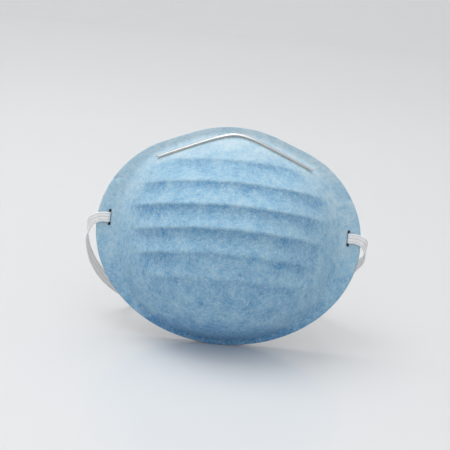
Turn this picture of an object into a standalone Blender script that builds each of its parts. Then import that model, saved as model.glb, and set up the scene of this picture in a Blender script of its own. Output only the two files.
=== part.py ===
"""Disposable dust mask: a moulded three-layer cup, a nose strip and one elastic headband.

The cup is drawn in its own frame, centred on its oval rim: X across the face, -Y forward
through the cup and Z up the rim. It then leans back and stands with its chin on Z = 0. The
headband is drawn upright from the same centre, as it hangs and lies. All lengths are in metres.
"""

import math

import bmesh
import bpy
from mathutils import Matrix, Vector

# Rim outline: an oval with two shallow dips that leave a soft peak over the nose.
HALF_WIDTH = 0.0673
UPPER_HEIGHT = 0.0550
LOWER_HEIGHT = 0.0556
NOSE_DIP = 0.0018
NOSE_DIP_PLACE = 0.030
NOSE_DIP_SPREAD = 0.014

# Flat sealing flange round the cup, wide at the sides where the headband passes.
FLANGE_AT_SIDES = 0.0090
FLANGE_AT_TOP = 0.0020
FLANGE_AT_CHIN = 0.0022
FLANGE_TAPER = 4

# Cup: depth over the flange, and how full its wall is towards the nose, the sides and the chin.
CUP_DEPTH = 0.038
ROOT_FILLET = 0.009
CROWN_POWERS = {"nose": 2.0, "side": 2.4, "chin": 3.0}
WALL_POWERS = {"nose": 0.85, "side": 0.85, "chin": 0.60}
LEAN = math.radians(18)

# Pressed ribs that stiffen the cup. The nose side is finely ribbed and the chin side coarsely.
RIB_COUNT = 6
TOP_RIB = 0.0381
RIB_PITCH = 0.01063
PITCH_GROWTH = 0.00017
RIB_DEPTH = 0.0021
LOW_RIBS_EASED = 0.6  # share by which the ribs under the third are shallower in the middle
EASED_REACH = (0.018, 0.034)
RIB_ARCH = 0.0036
ARCH_REACH = 0.042
RIB_FIELD = (0.052, 0.044)
FIELD_RISE = 0.0057
FIELD_FADE = 0.20

# Layers, from the outside in, and the clearance that all neighbours keep.
OUTER_THICKNESS = 0.0008
FILTER_THICKNESS = 0.0005
LINER_THICKNESS = 0.0006
INNER_EDGE_INSET = 0.0006
CLEARANCE = 0.0003

# Nose strip, and the bead of adhesive under it.
STRIP_WIDTH = 0.0013
STRIP_THICKNESS = 0.0006
STRIP_HALF_SPAN = 0.039
STRIP_BELOW_PEAK = 0.0044
STRIP_SLOPE = 0.44
STRIP_BEND = 0.006
ADHESIVE_WIDTH = 0.0009
ADHESIVE_THICKNESS = 0.0003

# Headband: flat braided elastic that comes forward through a slit in each side of the flange.
BAND_WIDTH = 0.0050
BAND_THICKNESS = 0.0007
SLIT_FROM_EDGE = 0.0065
SLIT_RISE = 0.0040
SLIT_LENGTH = 0.0082
SLIT_WIDTH = 0.0014

# Crimped steel channel on each end of the headband, too long to pull through its slit.
CLIP_LENGTH = 0.0104
CLIP_WALL = 0.0004
CLIP_DEPTH = 0.0018

BAND_BEND = 0.00105

# The headband swings about a line across the mask, through the two places where it has turned
# round the rim. Its route is given for the left and for the right side, in the level frame:
# distance out from the middle, distance back, height, and the angle in degrees through which
# its outer face has turned from the front towards the back.
HINGE_BACK = 0.0040
HINGE_HEIGHT = -0.0080
ROUND_THE_RIM = {
    "left": [(0.0707, 0.0014, -0.0001, 48)],
    "right": [(0.0694, 0.0008, 0.0014, 42), (0.0704, 0.0022, -0.0028, 78)],
}
HINGE_OUT = {"left": 0.0722, "right": 0.0701}
BEHIND_THE_RIM = {
    "left": [
        (0.0716, 0.0063, -0.0153, 100),
        (0.0693, 0.0082, -0.0230, 115),
        (0.0654, 0.0100, -0.0302, 130),
        (0.0602, 0.0124, -0.0368, 143),
        (0.0546, 0.0158, -0.0424, 153),
        (0.0490, 0.0204, -0.0466, 160),
        (0.0426, 0.0266, -0.0492, 164),
        (0.0354, 0.0340, -0.0502, 166),
        (0.0265, 0.0416, -0.0504, 170),
        (0.0140, 0.0482, -0.0504, 176),
    ],
    "right": [
        (0.0676, 0.0064, -0.0122, 112),
        (0.0642, 0.0096, -0.0180, 130),
        (0.0604, 0.0136, -0.0242, 144),
        (0.0572, 0.0184, -0.0308, 154),
        (0.0538, 0.0238, -0.0372, 161),
        (0.0496, 0.0298, -0.0432, 167),
        (0.0440, 0.0360, -0.0479, 170),
        (0.0366, 0.0418, -0.0500, 172),
        (0.0270, 0.0464, -0.0504, 175),
        (0.0144, 0.0496, -0.0504, 178),
    ],
}
LOOP_MIDDLE = (0.0, 0.0504, -0.0504, 180)

# Mesh resolution: the grid that becomes the cup, and the strips.
CUP_COLUMNS = 22
ROWS_PER_RIB = 3
ROWS_AT_NOSE = 5
ROWS_AT_CHIN = 6
FLANGE_RINGS = (0.12, 0.56, 1.0)  # shares of its width; the first keeps it flat beside the foot
STEPS_PER_POINT = 2
ROUND_END_STEPS = (0.0, 0.04, 0.15, 0.35, 0.65, 1.0)
STRIP_STEPS = 32

COLOURS = {
    "blue_nonwoven": ((0.29, 0.48, 0.62), 0.95, 0.0),
    "filter_web": ((0.86, 0.88, 0.88), 0.95, 0.0),
    "white_nonwoven": ((0.84, 0.85, 0.84), 0.95, 0.0),
    "aluminium": ((0.78, 0.78, 0.78), 0.35, 1.0),
    "hot_melt": ((0.80, 0.74, 0.58), 0.40, 0.0),
    "white_elastic": ((0.86, 0.86, 0.85), 0.85, 0.0),
    "clip_steel": ((0.42, 0.42, 0.43), 0.40, 1.0),
}


def clear_scene():
    for obj in list(bpy.data.objects):
        bpy.data.objects.remove(obj)


def collection(name):
    made = bpy.data.collections.new(name)
    bpy.context.scene.collection.children.link(made)
    return made


def empty(name, group, parent=None):
    made = bpy.data.objects.new(name, None)
    group.objects.link(made)
    made.parent = parent
    return made


def material(name):
    colour, roughness, metallic = COLOURS[name]
    made = bpy.data.materials.new(name)
    made.use_nodes = True
    shader = made.node_tree.nodes["Principled BSDF"]
    shader.inputs["Base Color"].default_value = (*colour, 1.0)
    shader.inputs["Roughness"].default_value = roughness
    shader.inputs["Metallic"].default_value = metallic
    return made


def add_object(name, work, group, parent, finish=None):
    mesh = bpy.data.meshes.new(name)
    work.to_mesh(mesh)
    work.free()
    made = bpy.data.objects.new(name, mesh)
    group.objects.link(made)
    made.parent = parent
    if finish:
        mesh.materials.append(material(finish))
    return made


def box(name, centre, size, group, parent, finish=None):
    work = bmesh.new()
    bmesh.ops.create_cube(work, size=1.0, matrix=Matrix.Diagonal((*size, 1.0)))
    made = add_object(name, work, group, parent, finish)
    made.location = centre
    return made


def as_cutter(obj):
    obj.hide_render = True
    obj.display_type = "WIRE"
    return obj


def thicken(obj, thickness, offset):
    solidify = obj.modifiers.new("Thickness", "SOLIDIFY")
    solidify.thickness = thickness
    solidify.offset = offset
    solidify.use_even_offset = True


def cut(obj, cutter):
    boolean = obj.modifiers.new("Cut", "BOOLEAN")
    boolean.operation = "DIFFERENCE"
    boolean.solver = "EXACT"
    boolean.object = cutter


# --- The cup's form ---------------------------------------------------------------------------


def smooth_step(value):
    value = min(1.0, max(0.0, value))
    return value * value * (3 - 2 * value)


def rim_point(turn):
    """A point of the rim. turn goes round the oval, from +X towards +Z."""
    x, up = HALF_WIDTH * math.cos(turn), math.sin(turn)
    if up < 0:
        return Vector((x, 0.0, LOWER_HEIGHT * up))
    from_dip = (abs(x) - NOSE_DIP_PLACE) / NOSE_DIP_SPREAD
    return Vector((x, 0.0, (UPPER_HEIGHT - NOSE_DIP * math.exp(-from_dip * from_dip)) * up))


def flange_width(turn):
    narrow = FLANGE_AT_TOP if math.sin(turn) > 0 else FLANGE_AT_CHIN
    return narrow + (FLANGE_AT_SIDES - narrow) * abs(math.cos(turn)) ** FLANGE_TAPER


def foot_point(turn):
    """Where the cup's wall meets the flange."""
    edge = rim_point(turn)
    return edge * (1 - flange_width(turn) / edge.length)


def towards(powers, turn):
    end = powers["nose"] if math.sin(turn) > 0 else powers["chin"]
    return powers["side"] + (end - powers["side"]) * math.sin(turn) ** 2


def plain_height(turn, share):
    """Height of the unribbed cup over the flange, at a share of the way from crown to foot."""
    fullness = max(0.0, 1 - share ** towards(CROWN_POWERS, turn)) ** towards(WALL_POWERS, turn)
    full_cube = (CUP_DEPTH + ROOT_FILLET) ** 3 - ROOT_FILLET**3
    return (full_cube * fullness**3 + ROOT_FILLET**3) ** (1 / 3) - ROOT_FILLET


def crest_height(rib):
    """Height of a rib's crest on the centre line. Ribs count down from 0 under the nose."""
    return TOP_RIB - RIB_PITCH * rib - PITCH_GROWTH * rib * rib


def rib_depth(x, z):
    """How far the ribbed surface lies under the plain one: sharp crests, round hollows."""
    below_top = TOP_RIB - z - RIB_ARCH * (x / ARCH_REACH) ** 2
    if below_top <= 0:
        return 0.0
    root = math.sqrt(RIB_PITCH**2 + 4 * PITCH_GROWTH * below_top)
    rib = (root - RIB_PITCH) / (2 * PITCH_GROWTH)
    if rib >= RIB_COUNT:
        return 0.0
    reach = math.hypot(x / RIB_FIELD[0], (z - FIELD_RISE) / RIB_FIELD[1])
    middle, side = EASED_REACH
    eased = smooth_step((rib - 3) / 1.5) * smooth_step((side - abs(x)) / (side - middle))
    pressed = smooth_step((1 - reach) / FIELD_FADE) * (1 - LOW_RIBS_EASED * eased)
    return RIB_DEPTH * math.sin(math.pi * (rib % 1) ** 0.8) * pressed


def cup_point(turn, share):
    foot = foot_point(turn) * share
    height = plain_height(turn, share) - rib_depth(foot.x, foot.z)
    return Vector((foot.x, -height, foot.z))


def flange_point(turn, share, inset):
    """A point of the flat flange: share 0 is at the cup's foot and 1 at the edge."""
    edge = rim_point(turn)
    edge *= 1 - inset / edge.length
    return foot_point(turn).lerp(edge, share)


def grid_place(u, v):
    """Turn round the oval, share of the cup and share of the flange, of a place on a square.

    The square from -1 to 1 becomes the cup, and what lies round it, out to 2, the flange.
    """
    ring = max(abs(u), abs(v))
    u, v = min(1.0, max(-1.0, u)), min(1.0, max(-1.0, v))
    x, z = u * math.sqrt(1 - v * v / 2), v * math.sqrt(1 - u * u / 2)
    share = math.hypot(x, z)
    share += (ring - share) * smooth_step((ring - 0.6) / 0.4)
    return math.atan2(z, x), min(1.0, share), max(0.0, ring - 1)


def grid_columns():
    flange = [1 + ring for ring in FLANGE_RINGS]
    inside = [2 * i / CUP_COLUMNS - 1 for i in range(CUP_COLUMNS + 1)]
    return [-place for place in reversed(flange)] + inside + flange


def grid_rows():
    """Rows from the chin to the nose, with one on each rib's crest."""
    flange = [1 + ring for ring in FLANGE_RINGS]
    chin, nose = foot_point(-math.pi / 2).z, foot_point(math.pi / 2).z
    levels = [crest_height(i / ROWS_PER_RIB) for i in range(RIB_COUNT * ROWS_PER_RIB + 1)]
    top, bottom = levels[0] / nose, levels[-1] / -chin
    above = [top + (1 - top) * (i + 1) / ROWS_AT_NOSE for i in range(ROWS_AT_NOSE)]
    below = [bottom - (1 + bottom) * (i + 1) / ROWS_AT_CHIN for i in range(ROWS_AT_CHIN)]
    ribbed = [z / nose if z > 0 else z / -chin for z in reversed(levels)]
    return [-place for place in reversed(flange)] + below[::-1] + ribbed + above + flange


def cup_layer(name, depth, thickness, inset, finish, group, parent, cutters):
    """One moulded layer, its outer face that depth under the cup's outer surface."""
    columns, rows = grid_columns(), grid_rows()
    work = bmesh.new()
    bmesh.ops.create_grid(
        work, x_segments=len(columns) - 1, y_segments=len(rows) - 1, size=1.0
    )
    for vertex in work.verts:
        column = round((vertex.co.x + 1) / 2 * (len(columns) - 1))
        row = round((vertex.co.y + 1) / 2 * (len(rows) - 1))
        turn, share, outward = grid_place(columns[column], rows[row])
        if outward:
            vertex.co = flange_point(turn, outward, inset)
        else:
            vertex.co = cup_point(turn, share)
    bmesh.ops.remove_doubles(work, verts=work.verts, dist=1e-6)
    work.normal_update()
    inward = [-vertex.normal * vertex.calc_shell_factor() for vertex in work.verts]
    for vertex, direction in zip(work.verts, inward):
        vertex.co += direction * depth
    made = add_object(name, work, group, parent, finish)
    thicken(made, thickness, -1.0)
    for cutter in cutters:
        cut(made, cutter)
    made.data.shade_smooth()
    return made


def surface_at(x, z):
    """The cup's outer surface and its outward normal at a point of the front view."""

    def surface_y(px, pz):
        turn = math.atan2(pz / (UPPER_HEIGHT if pz > 0 else LOWER_HEIGHT), px / HALF_WIDTH)
        for _ in range(8):
            foot = foot_point(turn)
            turn += math.atan2(pz, px) - math.atan2(foot.z, foot.x)
        return cup_point(turn, math.hypot(px, pz) / foot_point(turn).length).y

    step = 0.0004
    across = Vector((2 * step, surface_y(x + step, z) - surface_y(x - step, z), 0))
    upward = Vector((0, surface_y(x, z + step) - surface_y(x, z - step), 2 * step))
    return Vector((x, surface_y(x, z), z)), across.cross(upward).normalized()


def stack_depth():
    """From the flange's front face to the liner's back face, which meets the wearer's face."""
    return OUTER_THICKNESS + FILTER_THICKNESS + LINER_THICKNESS + 2 * CLEARANCE


# --- Strips laid along a route -----------------------------------------------------------------


def spline(points, steps):
    """A smooth curve through the points, with that many steps from each to the next."""
    made = []
    for i in range(len(points) - 1):
        start, end = points[i], points[i + 1]
        before = points[i - 1] if i else start * 2 - end
        after = points[i + 2] if i + 2 < len(points) else end * 2 - start
        for step in range(steps):
            t = step / steps
            cubic = (3 * start - before - 3 * end + after) * t**3
            square = (2 * before - 5 * start + 4 * end - after) * t**2
            made.append((2 * start + (end - before) * t + square + cubic) / 2)
    return [*made, points[-1].copy()]


def strip(name, route, across, width, thickness, finish, group, parent, **shape):
    """A flat strip centred on the route, with its width direction given at each point.

    round_ends=True gives it half-round ends. lie_on=(object, height) lays it on that object.
    """
    round_ends, lie_on = shape.get("round_ends", False), shape.get("lie_on")
    last = len(route) - 1
    run = run_along(route)
    work = bmesh.new()
    bmesh.ops.create_grid(work, x_segments=last, y_segments=1, size=1.0)
    for vertex in work.verts:
        i = round((vertex.co.x + 1) / 2 * last)
        tangent = (route[min(i + 1, last)] - route[max(i - 1, 0)]).normalized()
        side = (across[i] - across[i].dot(tangent) * tangent).normalized()
        reach = width / 2
        to_end = min(run[i], run[-1] - run[i])
        if round_ends and to_end < width / 2:
            reach = math.sqrt(max(0.05, 1 - (1 - 2 * to_end / width) ** 2)) * width / 2
        vertex.co = route[i] + side * math.copysign(reach, vertex.co.y)
    made = add_object(name, work, group, parent, finish)
    if lie_on:
        wrap = made.modifiers.new("Lie on the cup", "SHRINKWRAP")
        wrap.wrap_method = "NEAREST_SURFACEPOINT"
        wrap.wrap_mode = "ABOVE_SURFACE"
        wrap.target, wrap.offset = lie_on
    thicken(made, thickness, 0.0)
    made.data.shade_smooth()
    return made


# --- Parts ------------------------------------------------------------------------------------


def slit_place(side):
    return Vector((side * (HALF_WIDTH - SLIT_FROM_EDGE), 0.0, SLIT_RISE))


def slit_cutters(group, parent):
    size = (SLIT_WIDTH, 6 * stack_depth(), SLIT_LENGTH)
    sides = (("left", -1), ("right", 1))
    return [
        as_cutter(box(f"{name}_slit_cutter", slit_place(side), size, group, parent))
        for name, side in sides
    ]


def cup_layers(group, parent, cutters):
    filter_depth = OUTER_THICKNESS + CLEARANCE
    liner_depth = filter_depth + FILTER_THICKNESS + CLEARANCE
    layers = (
        ("outer_shell", 0.0, OUTER_THICKNESS, 0.0, "blue_nonwoven"),
        ("filter_layer", filter_depth, FILTER_THICKNESS, INNER_EDGE_INSET, "filter_web"),
        ("inner_liner", liner_depth, LINER_THICKNESS, INNER_EDGE_INSET, "white_nonwoven"),
    )
    return [cup_layer(*layer, group, parent, cutters) for layer in layers]


def strip_line():
    """The nose strip's centreline over the cup, and its width direction."""
    route, across = [], []
    for i in range(STRIP_STEPS + 1):
        x = STRIP_HALF_SPAN * (2 * i / STRIP_STEPS - 1)
        drop = STRIP_SLOPE * (math.hypot(x, STRIP_BEND) - STRIP_BEND)
        foot, normal = surface_at(x, UPPER_HEIGHT - STRIP_BELOW_PEAK - drop)
        route.append(foot + normal * STRIP_WIDTH)
        across.append(normal.cross(Vector((1, 0, -STRIP_SLOPE * x / math.hypot(x, STRIP_BEND)))))
    return route, across


def nose_strip(shell, group, parent):
    route, across = strip_line()
    glue_height = CLEARANCE + ADHESIVE_THICKNESS / 2
    metal_height = 2 * CLEARANCE + ADHESIVE_THICKNESS + STRIP_THICKNESS / 2
    strip(
        "nose_strip_adhesive",
        route[1:-1],
        across[1:-1],
        ADHESIVE_WIDTH,
        ADHESIVE_THICKNESS,
        "hot_melt",
        group,
        parent,
        lie_on=(shell, glue_height),
    )
    strip(
        "nose_strip",
        route,
        across,
        STRIP_WIDTH,
        STRIP_THICKNESS,
        "aluminium",
        group,
        parent,
        lie_on=(shell, metal_height),
    )


def strap_clip(name, side, group, cutter_group, parent):
    """A channel behind the slit, open towards it, with the headband's end inside."""
    inside = BAND_THICKNESS + 2 * CLEARANCE
    centre = slit_place(side) + Vector((0, stack_depth() + CLEARANCE + CLIP_DEPTH / 2, 0))
    size = (inside + 2 * CLIP_WALL, CLIP_DEPTH, CLIP_LENGTH)
    made = box(name, centre, size, group, parent, "clip_steel")
    hollow_size = (inside, CLIP_DEPTH, 2 * CLIP_LENGTH)
    hollow_place = centre - Vector((0, CLIP_WALL, 0))
    cut(made, as_cutter(box(f"{name}_hollow", hollow_place, hollow_size, cutter_group, parent)))


def level(point):
    """A point of the leaning cup's frame in the level frame."""
    return Matrix.Rotation(-LEAN, 3, "X") @ Vector(point)


def band_points(name, side):
    """One side of the headband, as (place, facing, lean), from its clip to the loop's middle."""
    slit = HALF_WIDTH - SLIT_FROM_EDGE
    front = -(CLEARANCE + BAND_THICKNESS / 2)
    floor = stack_depth() + CLIP_DEPTH - CLIP_WALL
    drawn = [((slit, floor, SLIT_RISE), -90), ((slit, floor / 2, SLIT_RISE), -90)]
    for step in range(5):
        bend = math.radians(90 * step / 4)
        place = (slit + BAND_BEND * (1 - math.cos(bend)), -BAND_BEND * math.sin(bend), SLIT_RISE)
        drawn.append((place, math.degrees(bend) - 90))
    drawn.append(((slit + 0.5 * SLIT_FROM_EDGE, front - 0.0002, SLIT_RISE), 0))
    drawn.append(((HALF_WIDTH - 0.0006, front - 0.0001, SLIT_RISE - 0.0006), 4))
    drawn.append(((HALF_WIDTH + 0.0012, front, SLIT_RISE - 0.0016), 20))
    points = [(level(place), facing, LEAN) for place, facing in drawn]
    hinge = (HINGE_OUT[name], HINGE_BACK, HINGE_HEIGHT, 90)
    free = [*ROUND_THE_RIM[name], hinge, *BEHIND_THE_RIM[name], LOOP_MIDDLE]
    upright = len(ROUND_THE_RIM[name])
    for i, (x, y, z, facing) in enumerate(free):
        points.append((Vector((x, y, z)), facing, LEAN * max(0.0, 1 - (i + 1) / (upright + 1))))
    hinge_index = len(points) - 2 - len(BEHIND_THE_RIM[name])
    mirrored = [(Vector((side * p.x, p.y, p.z)), facing, lean) for p, facing, lean in points]
    return mirrored, hinge_index


def band_line(name, side):
    """A side's smooth centreline, its width direction, and how far along it the hinge is."""
    points, hinge_index = band_points(name, side)
    route = spline([place for place, _, _ in points], STEPS_PER_POINT)
    angles = spline([Vector((facing, lean, 0)) for _, facing, lean in points], STEPS_PER_POINT)
    across = []
    for i, angle in enumerate(angles):
        turned = math.radians(angle.x)
        outward = Vector((side * math.sin(turned), -math.cos(turned), 0))
        outward.rotate(Matrix.Rotation(-angle.y, 3, "X"))
        tangent = route[min(i + 1, len(route) - 1)] - route[max(i - 1, 0)]
        across.append(side * outward.cross(tangent).normalized())
    return route, across, run_along(route)[hinge_index * STEPS_PER_POINT]


def run_along(route):
    run = [0.0]
    for here, there in zip(route, route[1:]):
        run.append(run[-1] + (there - here).length)
    return run


def stretch(route, across, places):
    """The route's points and width directions at those distances along it."""
    run = run_along(route)
    points, sides = [], []
    for place in places:
        i = max(k for k in range(len(run) - 1) if run[k] <= place or k == 0)
        share = (place - run[i]) / (run[i + 1] - run[i])
        points.append(route[i].lerp(route[i + 1], share))
        sides.append(across[i].lerp(across[i + 1], share))
    return points, sides


def headband(group, parent):
    """Two ends that stay on the cup, and the loop that swings."""
    elastic = (BAND_WIDTH, BAND_THICKNESS, "white_elastic", group, parent)
    round_end = BAND_WIDTH / 2
    halves = {}
    for name, side in (("left", -1), ("right", 1)):
        route, across, hinge = band_line(name, side)
        run = run_along(route)
        fixed = [place for place in run if place < hinge - round_end - 3 * CLEARANCE]
        fixed.append(hinge - round_end - CLEARANCE)
        strip(f"headband_{name}_end", *stretch(route, across, fixed), *elastic)
        free = [hinge - round_end + step * round_end for step in ROUND_END_STEPS]
        free += [place for place in run if place > hinge + round_end / 2]
        halves[name] = stretch(route, across, free)
    left, right = halves["left"], halves["right"]
    route = left[0] + right[0][-2::-1]
    across = left[1] + right[1][-2::-1]
    strip("headband_loop", route, across, *elastic, round_ends=True)


def stand_on_origin(root, standing):
    """Move it all until those objects stand on Z = 0, centred front to back on the origin."""
    bpy.context.view_layer.update()
    depsgraph = bpy.context.evaluated_depsgraph_get()
    corners = [
        obj.matrix_world @ vertex.co
        for obj in standing
        for vertex in obj.evaluated_get(depsgraph).data.vertices
    ]
    low, high = min(p.y for p in corners), max(p.y for p in corners)
    root.location = (0, -(low + high) / 2, -min(p.z for p in corners))


def main():
    clear_scene()
    parts = collection("dust_mask")
    cutters = collection("cutters")
    root = empty("mask_root", parts)
    mask = empty("mask_frame", parts, root)
    shell, *_ = cup_layers(parts, mask, slit_cutters(cutters, mask))
    nose_strip(shell, parts, mask)
    for name, side in (("left_strap_clip", -1), ("right_strap_clip", 1)):
        strap_clip(name, side, parts, cutters, mask)
    headband(parts, root)
    mask.rotation_euler.x = -LEAN
    cup = [obj for obj in parts.objects if obj.parent == mask and obj.type == "MESH"]
    stand_on_origin(root, cup)


main()
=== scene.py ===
"""Disposable dust mask: felt cup, nose strip, strap clips and elastic headband, on a pale table.

The cup is drawn in its own frame, centred on its oval rim: X across the face, -Y forward
through the cup and Z up the rim. placed() leans it back and sets it down, where the frame's
own parts stand. All lengths are in metres.
"""

import math

import bmesh
import bpy
from mathutils import Matrix, Vector, noise


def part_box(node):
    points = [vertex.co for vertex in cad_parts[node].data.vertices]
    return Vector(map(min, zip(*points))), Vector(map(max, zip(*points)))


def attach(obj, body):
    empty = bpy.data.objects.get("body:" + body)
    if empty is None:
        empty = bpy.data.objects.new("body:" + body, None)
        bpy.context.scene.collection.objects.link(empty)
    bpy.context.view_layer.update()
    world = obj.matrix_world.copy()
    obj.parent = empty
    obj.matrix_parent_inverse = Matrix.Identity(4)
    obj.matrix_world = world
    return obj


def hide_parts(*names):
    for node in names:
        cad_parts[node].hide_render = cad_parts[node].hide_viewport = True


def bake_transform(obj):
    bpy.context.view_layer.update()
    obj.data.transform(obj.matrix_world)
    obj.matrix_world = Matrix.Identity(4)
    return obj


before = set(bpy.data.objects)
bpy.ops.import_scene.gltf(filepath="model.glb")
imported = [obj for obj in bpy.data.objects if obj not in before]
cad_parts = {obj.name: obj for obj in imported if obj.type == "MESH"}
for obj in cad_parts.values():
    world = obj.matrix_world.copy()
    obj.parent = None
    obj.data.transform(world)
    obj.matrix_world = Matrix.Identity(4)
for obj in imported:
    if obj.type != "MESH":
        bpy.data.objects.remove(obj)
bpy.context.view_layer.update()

bl_info = {
    "name": "Disposable dust mask",
    "version": (1, 0, 0),
    "blender": (4, 5, 0),
    "location": "3D View > Sidebar > Dust mask",
    "description": "Builds a moulded felt dust mask with its nose strip and elastic headband",
    "category": "Add Mesh",
}

# --- The cup's sizes --------------------------------------------------------------------------

HALF_WIDTH = 0.0673
UPPER_HEIGHT = 0.0550
LOWER_HEIGHT = 0.0556
NOSE_DIP, NOSE_DIP_PLACE, NOSE_DIP_SPREAD = 0.0018, 0.030, 0.014
FLANGE_AT_SIDES, FLANGE_AT_TOP, FLANGE_AT_CHIN, FLANGE_TAPER = 0.0090, 0.0020, 0.0022, 4
CUP_DEPTH = 0.038
ROOT_FILLET = 0.009
CROWN_POWERS = {"nose": 2.0, "side": 2.4, "chin": 3.0}
WALL_POWERS = {"nose": 0.85, "side": 0.85, "chin": 0.60}
LEAN = math.radians(18)

RIB_COUNT = 6
TOP_RIB, RIB_PITCH, PITCH_GROWTH = 0.0381, 0.01063, 0.00017
RIB_DEPTH, RIB_ARCH, ARCH_REACH = 0.0021, 0.0036, 0.042
LOW_RIBS_EASED, EASED_REACH = 0.6, (0.018, 0.034)
RIB_FIELD, FIELD_RISE, FIELD_FADE = (0.052, 0.044), 0.0057, 0.20

OUTER_THICKNESS, FILTER_THICKNESS, LINER_THICKNESS = 0.0008, 0.0005, 0.0006
INNER_EDGE_INSET = 0.0006
CLEARANCE = 0.0003
STACK = OUTER_THICKNESS + FILTER_THICKNESS + LINER_THICKNESS + 2 * CLEARANCE

# Short folds in the flange, each from its place on the rim to where it dies out on the cup.
CREASES = (
    (Vector((-0.0640, 0.0228)), Vector((-0.0555, 0.0250))),
    (Vector((0.0640, 0.0222)), Vector((0.0560, 0.0252))),
)
CREASE_DEPTH, CREASE_WIDTH = 0.0007, 0.0009

# --- The strip's, the headband's and the clips' sizes -------------------------------------------

STRIP_WIDTH, STRIP_THICKNESS = 0.0013, 0.0006
STRIP_HALF_SPAN, STRIP_BELOW_PEAK, STRIP_SLOPE, STRIP_BEND = 0.039, 0.0044, 0.44, 0.006
STRIP_LIFT, STRIP_CORNER, STRIP_TRIM = 0.00075, 0.00018, 0
ADHESIVE_WIDTH, ADHESIVE_THICKNESS = 0.0010, 0.0009
ADHESIVE_LIFT, ADHESIVE_CORNER, ADHESIVE_TRIM = -0.0001, 0.0003, 4

BAND_WIDTH, BAND_THICKNESS, BAND_LENGTH = 0.0050, 0.0007, 0.2647
BAND_BEND = 0.00105
SLIT_FROM_EDGE, SLIT_RISE, SLIT_LENGTH, SLIT_WIDTH = 0.0065, 0.0040, 0.0082, 0.0014
SLIT_OUT = HALF_WIDTH - SLIT_FROM_EDGE
CLIP_LENGTH, CLIP_WALL, CLIP_DEPTH = 0.0104, 0.0004, 0.0018

# The headband's route on each side, in a level frame on the cup's centre: distance out, back
# and up, and the angle in degrees through which its outer face has turned from the front.
HINGE_BACK, HINGE_HEIGHT = 0.0040, -0.0080
ROUND_THE_RIM = {
    "left": [(0.0707, 0.0014, -0.0001, 48)],
    "right": [(0.0694, 0.0008, 0.0014, 42), (0.0704, 0.0022, -0.0028, 78)],
}
HINGE_OUT = {"left": 0.0722, "right": 0.0701}
BEHIND_THE_RIM = {
    "left": [
        (0.0716, 0.0063, -0.0153, 100),
        (0.0693, 0.0082, -0.0230, 115),
        (0.0654, 0.0100, -0.0302, 130),
        (0.0602, 0.0124, -0.0368, 143),
        (0.0546, 0.0158, -0.0424, 153),
        (0.0490, 0.0204, -0.0466, 160),
        (0.0426, 0.0266, -0.0492, 164),
        (0.0354, 0.0340, -0.0502, 166),
        (0.0265, 0.0416, -0.0504, 170),
        (0.0140, 0.0482, -0.0504, 176),
    ],
    "right": [
        (0.0676, 0.0064, -0.0122, 112),
        (0.0642, 0.0096, -0.0180, 130),
        (0.0604, 0.0136, -0.0242, 144),
        (0.0572, 0.0184, -0.0308, 154),
        (0.0538, 0.0238, -0.0372, 161),
        (0.0496, 0.0298, -0.0432, 167),
        (0.0440, 0.0360, -0.0479, 170),
        (0.0366, 0.0418, -0.0500, 172),
        (0.0270, 0.0464, -0.0504, 175),
        (0.0144, 0.0496, -0.0504, 178),
    ],
}
LOOP_MIDDLE = (0.0, 0.0504, -0.0504, 180)

# --- How finely the meshes are drawn ------------------------------------------------------------

FINE_CUP = {"columns": 168, "per_rib": 14, "nose": 26, "chin": 34, "flange": 8}
PLAIN_CUP = {"columns": 84, "per_rib": 7, "nose": 14, "chin": 18, "flange": 4}
BAND_STEPS_PER_POINT = 11
BAND_POINTS_PER_FACE = 21
STRIP_STEPS = 160


# --- Placing ------------------------------------------------------------------------------------


def cup_centre():
    """Where the middle of the cup's rim stands in the row frame, found from a strap clip."""
    low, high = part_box("right_strap_clip")
    clip = Vector((SLIT_OUT, STACK + CLEARANCE + CLIP_DEPTH / 2, SLIT_RISE))
    clip.rotate(Matrix.Rotation(-LEAN, 3, "X"))
    middle = (low + high) / 2 - clip
    return Vector((0.0, middle.y, middle.z))


def placed():
    """Takes the cup's own frame to the row frame."""
    return Matrix.Translation(cup_centre()) @ Matrix.Rotation(-LEAN, 4, "X")


# --- The cup's form -----------------------------------------------------------------------------


def smooth_step(value):
    value = min(1.0, max(0.0, value))
    return value * value * (3 - 2 * value)


def rim_point(turn):
    """A point of the rim. turn goes round the oval, from +X towards +Z."""
    x, up = HALF_WIDTH * math.cos(turn), math.sin(turn)
    if up < 0:
        return Vector((x, 0.0, LOWER_HEIGHT * up))
    from_dip = (abs(x) - NOSE_DIP_PLACE) / NOSE_DIP_SPREAD
    return Vector((x, 0.0, (UPPER_HEIGHT - NOSE_DIP * math.exp(-from_dip * from_dip)) * up))


def foot_point(turn):
    """Where the cup's wall meets the flange."""
    edge = rim_point(turn)
    narrow = FLANGE_AT_TOP if math.sin(turn) > 0 else FLANGE_AT_CHIN
    flange = narrow + (FLANGE_AT_SIDES - narrow) * abs(math.cos(turn)) ** FLANGE_TAPER
    return edge * (1 - flange / edge.length)


def towards(powers, turn):
    end = powers["nose"] if math.sin(turn) > 0 else powers["chin"]
    return powers["side"] + (end - powers["side"]) * math.sin(turn) ** 2


def plain_height(turn, share):
    """Height of the unribbed cup over the flange, at a share of the way from crown to foot."""
    fullness = max(0.0, 1 - share ** towards(CROWN_POWERS, turn)) ** towards(WALL_POWERS, turn)
    full_cube = (CUP_DEPTH + ROOT_FILLET) ** 3 - ROOT_FILLET**3
    return (full_cube * fullness**3 + ROOT_FILLET**3) ** (1 / 3) - ROOT_FILLET


def crest_height(rib):
    """Height of a rib's crest on the centre line. Ribs count down from 0 under the nose."""
    return TOP_RIB - RIB_PITCH * rib - PITCH_GROWTH * rib * rib


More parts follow.
